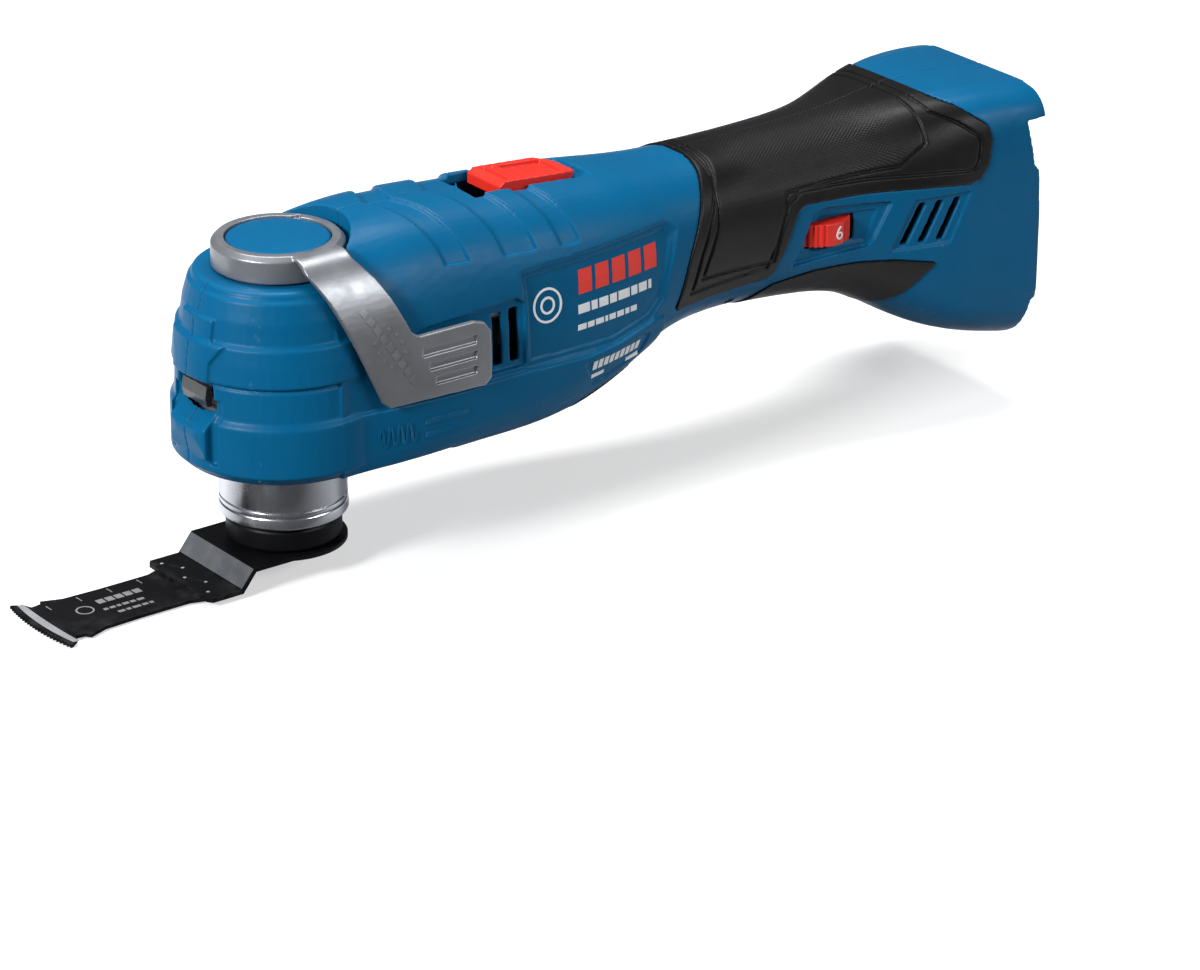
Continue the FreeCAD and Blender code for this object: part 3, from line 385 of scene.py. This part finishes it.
class Wall:
    """Side wall of a piece, found by casting rays along Y."""

    def __init__(self, name, side, body="chassis"):
        self.tree = tree_of(name)
        self.side = side
        self.body = body

    def at(self, x, z, lift_mm):
        start = Vector((x * MM, self.side * 0.06, z * MM))
        hit = self.tree.ray_cast(start, Vector((0, -self.side, 0)))[0]
        if hit is None:
            hit = Vector((x * MM, self.side * 0.03, z * MM))
        return Vector((hit.x, hit.y + self.side * lift_mm * MM, hit.z))

    def mark(self, name, grid, look, wraps=False, lift=PRINT_LIFT):
        """Thin closed piece that follows the wall and is rooted a little way into it."""
        top = [[self.at(x, z, lift) for x, z in row] for row in grid]
        bottom = [[self.at(x, z, -PRINT_ROOT) for x, z in row] for row in grid]
        obj = closed_sheet(name, top, bottom, wraps)
        wear(obj, look)
        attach(obj, self.body)
        return obj


def slanted_bar(x, z, length, height, slope, lean=0.0):
    """Grid for a bar that climbs with slope and leans like italic type."""
    steps = max(2, int(length / 2.0) + 1)
    rows = []
    for v in (0.0, 0.5, 1.0):
        row = []
        for k in range(steps + 1):
            u = length * k / steps
            row.append((x + u + lean * v * height, z + slope * u + v * height))
        rows.append(row)
    return rows


def ring_grid(x, y, r_out, r_in, count=40):
    """Grid for a flat ring: its outer and inner circle."""
    return [circle_points(x, y, radius, count) for radius in (r_out, r_in)]


LABEL_X = 84.0
LABEL_SLOPE = 0.03
EMBLEM_X = 72.6
EMBLEM_Z = 61.6
TAG_X = 87.0
TAG_SLOPE = 0.09


def printed_row(wall, name, x, z, widths, gap, height):
    """Row of white blocks that climbs with the label."""
    for k, width in enumerate(widths):
        bar = slanted_bar(x, z + LABEL_SLOPE * (x - LABEL_X), width, height, LABEL_SLOPE)
        wall.mark("%s%d" % (name, k + 1), bar, "print_white")
        x += width + gap


def label_marks():
    """Plain blocks and lines where a printed label would be; they spell nothing."""
    wall = Wall("housing_left", -1)
    outer = ring_grid(EMBLEM_X, EMBLEM_Z, 5.2, 4.5)
    wall.mark("label_ring", outer, "print_white", wraps=True)
    inner = ring_grid(EMBLEM_X, EMBLEM_Z, 2.6, 1.9, 28)
    wall.mark("label_ring_inner", inner, "print_white", wraps=True)
    block_z = 62.2
    block_pitch = 6.4
    block_width = 4.9
    block_height = 7.0
    block_lean = 0.08
    for k in range(5):
        x = LABEL_X + block_pitch * k
        z = block_z + LABEL_SLOPE * (x - LABEL_X)
        bar = slanted_bar(x, z, block_width, block_height, LABEL_SLOPE, block_lean)
        wall.mark("label_block_%d" % (k + 1), bar, "print_red")
    wide = (4.2, 2.2, 3.4, 2.6, 4.4, 2.4, 3.2, 1.2)
    printed_row(wall, "label_line_a", 83.6, 56.4, wide, 0.7, 2.7)
    narrow = (3.0, 2.4, 3.0, 1.0, 2.4, 2.6, 1.6, 2.4)
    printed_row(wall, "label_line_b", 83.4, 51.4, narrow, 0.6, 1.7)
    tag_pitch = 2.15
    tag_z = 38.4
    for k in range(9):
        x = TAG_X + 0.6 + tag_pitch * k
        bar = slanted_bar(x, tag_z + TAG_SLOPE * (x - TAG_X), 1.6, 2.6, TAG_SLOPE, 0.2)
        wall.mark("tag_block_%d" % (k + 1), bar, "print_white")
    bar_z = 35.8
    for k, (x, width) in enumerate(((87.4, 5.0), (101.6, 5.4))):
        bar = slanted_bar(x, bar_z + TAG_SLOPE * (x - TAG_X), width, 1.2, TAG_SLOPE)
        wall.mark("tag_bar_%d" % (k + 1), bar, "print_white")


def skirt_relief():
    """Raised wave and two lines moulded into the lower side of the head."""
    wall = Wall("housing_left", -1)
    wave_x = 12.0
    wave_z = 36.0
    wave_step = 0.25
    wave_height = 3.2
    steps_per_half_wave = 6.0
    half_width = 0.35
    wave = []
    for offset in (-half_width, half_width):
        wave.append([(wave_x + wave_step * k + offset,
                      wave_z + wave_height * math.sin(k * math.pi / steps_per_half_wave))
                     for k in range(49)])
    wall.mark("relief_wave", wave, "blue", lift=MOULD_LIFT)
    line_x = 27.0
    for k, (z, length) in enumerate(((37.4, 15.0), (33.4, 10.0))):
        line = slanted_bar(line_x, z, length, 1.5, 0.0, 0.2)
        wall.mark("relief_line_%d" % (k + 1), line, "blue", lift=MOULD_LIFT)


LEVER_MARK_LIFT = 0.2
LEVER_MARK_TOP = (7.0, 76.0)
LEVER_MARK_FOOT = (23.5, 50.5)


def lever_relief():
    """Row of raised blocks along the lever arm, ringed by short ticks, in place of lettering."""
    wall = Wall("release_lever", -1, "lever")
    top_x, top_z = LEVER_MARK_TOP
    foot_x, foot_z = LEVER_MARK_FOOT
    count = 9
    length = math.hypot(foot_x - top_x, foot_z - top_z)
    along = ((foot_x - top_x) / length, (foot_z - top_z) / length)
    across = (-along[1], along[0])

    def block(name, u, v, du, dv):
        """Block from u to u + du along the arm and from v to v + dv across it."""
        grid = []
        for b in (0.0, 1.0):
            row = []
            for a in (0.0, 0.5, 1.0):
                s = u + a * du
                t = v + b * dv
                row.append((top_x + along[0] * s + across[0] * t, top_z + along[1] * s + across[1] * t))
            grid.append(row)
        wall.mark(name, grid, "lever", lift=LEVER_MARK_LIFT)

    pitch = length / count
    height = 2.2
    for k in range(count):
        block("lever_block_%d" % (k + 1), k * pitch, -height / 2, 0.62 * pitch, height)
    tick = 1.0
    for k in range(4):
        u = (3.2 + k) * pitch * 0.9
        reach = 3.0 + (0.7 if k in (1, 2) else 0.0)
        for side, letter in ((-1, "a"), (1, "b")):
            name = "lever_tick_%d_%s" % (k + 1, letter)
            block(name, u, side * reach - tick / 2, 0.3 * pitch, tick)


# ---- marks on the saw blade -----------------------------------------------------------
ETCH_LIFT = 0.03
ETCH_ROOT = 0.2


def blade_patch(name, grid, look, wraps=False):
    """Flat mark on top of the saw blade from a grid of (x, y) points."""
    surface_z = node_box("saw_blade")[1][2]
    top = [[Vector((x * MM, y * MM, (surface_z + ETCH_LIFT) * MM)) for x, y in row] for row in grid]
    bottom = [[Vector((x * MM, y * MM, (surface_z - ETCH_ROOT) * MM)) for x, y in row] for row in grid]
    obj = closed_sheet(name, top, bottom, wraps)
    wear(obj, look)
    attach(obj, "output")
    return obj


def flat_bar(x, y, width, height):
    """Grid for an upright rectangle on the blade."""
    return [[(x, y), (x + width, y)], [(x, y + height), (x + width, y + height)]]


def tip_band(tip, half):
    """Bright band behind the teeth that bends with the blade's curved edge."""
    steps = 16
    margin = 1.2
    rows = []
    for depth_mid, depth_end in ((2.1, 3.6), (4.6, 5.2)):
        row = []
        for k in range(steps + 1):
            y = (half - margin) * (2.0 * k / steps - 1.0)
            bend = (y / half) ** 2
            row.append((tip + depth_mid + (depth_end - depth_mid) * bend, y))
        rows.append(row)
    blade_patch("tip_band", rows, "print_silver")


def depth_ticks(tip):
    """Marks every 10 mm that show how deep the blade has gone in."""
    first = 9.6
    pitch = 10.0
    half_width = 0.15
    low_y = 6.8
    high_y = 9.8
    for k in range(4):
        x = tip + first + pitch * k
        left = [(x - half_width, low_y), (x - half_width, high_y)]
        right = [(x + half_width, low_y), (x + half_width, high_y)]
        blade_patch("depth_tick_%d" % (k + 1), [left, right], "print_etch")


def etched_rows(tip):
    """Three rows of etched blocks in place of small print: y, start from the tip, height, widths."""
    gap = 0.6
    rows = (
        (2.2, 22.5, 2.6, (2.4, 2.4, 2.4, 2.4, 2.4)),
        (-2.4, 21.5, 1.3, (1.4, 1.8, 1.2, 2.0, 1.6, 2.2)),
        (-6.0, 24.0, 1.3, (2.2, 1.4, 2.6, 1.8, 1.2)),
    )
    for row_number, (y, start, height, widths) in enumerate(rows):
        x = tip + start
        for k, width in enumerate(widths):
            name = "etched_%d_%d" % (row_number + 1, k + 1)
            blade_patch(name, flat_bar(x, y, width, height), "print_etch")
            x += width + gap


def blade_marks():
    low, high = node_box("saw_blade")
    tip = low[0]
    half = high[1]
    tip_band(tip, half)
    depth_ticks(tip)
    blade_patch("etched_ring", ring_grid(tip + 17.0, 1.0, 2.7, 2.2, 24), "print_etch", wraps=True)
    etched_rows(tip)


CRANK_LOW_Z = -5.6


def weld_spots():
    """Bright resistance-weld dimples where the carrier is joined to the blade."""
    back_row = [(-33.4, 13.0), (-33.4, 1.0), (-33.4, -11.0)]
    front_row = [(-30.2, 7.0), (-30.2, -5.0)]
    radius = 0.62
    flatness = 0.35
    sunk = 0.2
    for k, (x, y) in enumerate(back_row + front_row):
        mesh = bpy.data.meshes.new("weld_spot_%d" % (k + 1))
        work = bmesh.new()
        bmesh.ops.create_uvsphere(work, u_segments=16, v_segments=8, radius=radius * MM)
        bmesh.ops.scale(work, vec=(1, 1, flatness), verts=work.verts)
        centre = (x * MM, y * MM, (CRANK_LOW_Z - sunk) * MM)
        bmesh.ops.translate(work, vec=centre, verts=work.verts)
        work.to_mesh(mesh)
        work.free()
        obj = add_to_scene(bpy.data.objects.new(mesh.name, mesh))
        for polygon in mesh.polygons:
            polygon.use_smooth = True
        wear(obj, "print_silver")
        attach(obj, "output")


def crank_sheen():
    """Brighter metallic face laid on the crank, a painted sheen; brighter than the oxide round it."""
    corners = ((-21.2, -0.25), (-25.3, CRANK_LOW_Z + 0.35))
    half = 16.0
    lift = 0.035
    root = 0.3
    rows_top = []
    rows_low = []
    for x, z in corners:
        rows_top.append([Vector(((x - lift) * MM, y * MM, (z + lift) * MM)) for y in (-half, 0.0, half)])
        rows_low.append([Vector(((x + root) * MM, y * MM, (z - root) * MM)) for y in (-half, 0.0, half)])
    obj = closed_sheet("crank_face", rows_top, rows_low, False)
    wear(obj, "crank")
    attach(obj, "output")


def soft_spring():
    """Copy of the CAD clamp spring coil at its rest length, carried with the output; the CAD piece is
    hidden.
    """
    node = NODES["clamp_spring"]
    spring = add_to_scene(bpy.data.objects.new("clamp_spring_coil", node.data.copy()))
    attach(spring, "output")
    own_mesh(spring)
    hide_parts("clamp_spring")


DIAL_FIGURE = 6.0
DIAL_FIGURE_RELIEF = 0.14
DIAL_FIGURE_TURN = -84
DIAL_FIGURE_RISE = 1.55


def placed(axes, origin):
    """Matrix whose columns are three axes and a place."""
    place = Matrix.Identity(4)
    for k, axis in enumerate(axes):
        for j in range(3):
            place[j][k] = axis[j]
    place.translation = origin
    return place


def dial_number():
    """The 6 moulded on the rim of the speed dial."""
    low, high = node_box("speed_dial")
    centre_x = (low[0] + high[0]) / 2
    centre_y = (low[1] + high[1]) / 2
    radius = (high[0] - low[0]) / 2
    curve = bpy.data.curves.new("dial_six", "FONT")
    curve.body = "6"
    curve.size = DIAL_FIGURE * MM
    curve.extrude = DIAL_FIGURE_RELIEF * MM
    curve.align_x = "CENTER"
    curve.align_y = "CENTER"
    text = add_to_scene(bpy.data.objects.new("dial_six_curve", curve))
    bpy.context.view_layer.update()
    mesh = bpy.data.meshes.new_from_object(text.evaluated_get(bpy.context.evaluated_depsgraph_get()))
    bpy.data.objects.remove(text)
    work = bmesh.new()
    work.from_mesh(mesh)
    bmesh.ops.remove_doubles(work, verts=work.verts, dist=0.005 * MM)
    bmesh.ops.recalc_face_normals(work, faces=work.faces)
    work.to_mesh(mesh)
    work.free()
    obj = add_to_scene(bpy.data.objects.new("dial_six", mesh))
    angle = math.radians(DIAL_FIGURE_TURN)
    out = Vector((math.cos(angle), math.sin(angle), 0))
    across = Vector((-math.sin(angle), math.cos(angle), 0))
    height = (low[2] + DIAL_FIGURE_RISE + high[2]) / 2
    rim = Vector((centre_x * MM, centre_y * MM, height * MM)) + out * (radius * MM)
    mesh.transform(placed((across, Vector((0, 0, 1)), out), rim))
    wear(obj, "print_white")
    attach(obj, "dial")


# ---- stage ---------------------------------------------------------------------------
FLOOR_GAP = 0.0006
CAMERA_TURN = math.radians(-37.39)


def floor_shade(tree, where):
    """Pale floor; what the metal mirrors gets a dark flag in front of the tool, as in a studio."""
    tint = mixed(tree, noise(tree, where, 300.0, 2.0), (0.56, 0.56, 0.56), (0.60, 0.60, 0.60))
    path = tree.nodes.new("ShaderNodeLightPath")
    split = tree.nodes.new("ShaderNodeSeparateXYZ")
    tree.links.new(where, split.inputs[0])
    toward_x = math_node(tree, "MULTIPLY", split.outputs[0], math.sin(CAMERA_TURN))
    toward_y = math_node(tree, "MULTIPLY", split.outputs[1], -math.cos(CAMERA_TURN))
    toward_camera = math_node(tree, "ADD", toward_x, toward_y)
    flag = ranged(tree, toward_camera, -0.02, 0.04, 0.0, 1.0)
    mirrored = mixed(tree, flag, (0.8, 0.8, 0.82), (0.03, 0.03, 0.033))
    # Bounced light sees a dark grey in place of the pale floor, which is painted shade that keeps the tool's
    # underside dark; glossy rays see the painted reflection with its dark flag.
    bounce_shade_and_reflection = mixed(tree, path.outputs["Is Glossy Ray"], (0.12, 0.12, 0.12), mirrored)
    glow = math_node(tree, "MULTIPLY", path.outputs["Is Camera Ray"], 0.42)
    return mixed(tree, path.outputs["Is Camera Ray"], bounce_shade_and_reflection, tint), glow


def see_through_from_below(tree, shader):
    geometry = tree.nodes.new("ShaderNodeNewGeometry")
    clear = tree.nodes.new("ShaderNodeBsdfTransparent")
    sides = tree.nodes.new("ShaderNodeMixShader")
    tree.links.new(geometry.outputs["Backfacing"], sides.inputs[0])
    tree.links.new(shader.outputs[0], sides.inputs[1])
    tree.links.new(clear.outputs[0], sides.inputs[2])
    tree.links.new(sides.outputs[0], tree.nodes["Material Output"].inputs["Surface"])


def floor():
    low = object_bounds()[0]
    mesh = bpy.data.meshes.new("floor")
    reach = 6.0
    depth = low[2] - FLOOR_GAP
    mesh.from_pydata([(-reach, -reach, depth), (reach, -reach, depth), (reach, reach, depth),
                      (-reach, reach, depth)], [], [(0, 1, 2, 3)])
    obj = add_to_scene(bpy.data.objects.new("floor", mesh))
    material, tree, shader, where = new_material("pale_floor")
    colour, glow = floor_shade(tree, where)
    tree.links.new(colour, shader.inputs["Base Color"])
    shader.inputs["Roughness"].default_value = 0.8
    shader.inputs["Emission Color"].default_value = (1.0, 1.0, 1.0, 1.0)
    tree.links.new(glow, shader.inputs["Emission Strength"])
    see_through_from_below(tree, shader)
    obj.data.materials.append(material)
    obj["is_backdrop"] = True


def area_light(name, place, aim, width, height, power, colour=(1.0, 1.0, 1.0)):
    data = bpy.data.lights.new(name, "AREA")
    data.shape = "RECTANGLE"
    data.size = width
    data.size_y = height
    data.energy = power
    data.color = colour
    obj = add_to_scene(bpy.data.objects.new(name, data))
    obj.location = place
    obj.rotation_mode = "QUATERNION"
    obj.rotation_quaternion = (Vector(place) - Vector(aim)).to_track_quat("Z", "Y")
    obj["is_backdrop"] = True


def lights():
    centre = (0.09, 0.0, 0.05)
    area_light("key", (-1.3, -0.2, 0.75), centre, 0.35, 0.35, 23.0)
    area_light("top", (0.15, 0.25, 1.2), centre, 1.2, 0.3, 15.0)
    area_light("side", (0.75, -1.25, 0.75), centre, 0.9, 0.22, 9.0)
    world = bpy.data.worlds.new("studio")
    world.use_nodes = True
    back = world.node_tree.nodes["Background"]
    back.inputs["Color"].default_value = (0.93, 0.95, 1.0, 1.0)
    back.inputs["Strength"].default_value = 0.1
    bpy.context.scene.world = world
    view = bpy.context.scene.view_settings
    view.view_transform = "Standard"
    view.look = "None"
    view.exposure = 0.28


def camera():
    """Long lens from the front left, a little above the tool."""
    elevation = math.radians(23.47)
    roll = math.radians(-0.32)
    distance = 1.5252
    aim = Vector((0.11373, 0.0, -0.01491))
    back = Vector((math.sin(CAMERA_TURN) * math.cos(elevation), -math.cos(CAMERA_TURN) * math.cos(elevation),
                   math.sin(elevation)))
    right = Vector((math.cos(CAMERA_TURN), math.sin(CAMERA_TURN), 0.0))
    up = back.cross(right)
    x_axis = right * math.cos(roll) - up * math.sin(roll)
    y_axis = right * math.sin(roll) + up * math.cos(roll)
    data = bpy.data.cameras.new("camera")
    data.sensor_width = 36.0
    data.lens = 152.5
    data.clip_start = 0.05
    data.clip_end = 50.0
    obj = add_to_scene(bpy.data.objects.new("camera", data))
    obj.matrix_world = placed((x_axis, y_axis, back), aim + back * distance)
    bpy.context.scene.camera = obj


dress_nodes()
round_everything()
label_marks()
skirt_relief()
lever_relief()
blade_marks()
weld_spots()
crank_sheen()
soft_spring()
dial_number()
floor()
lights()
camera()
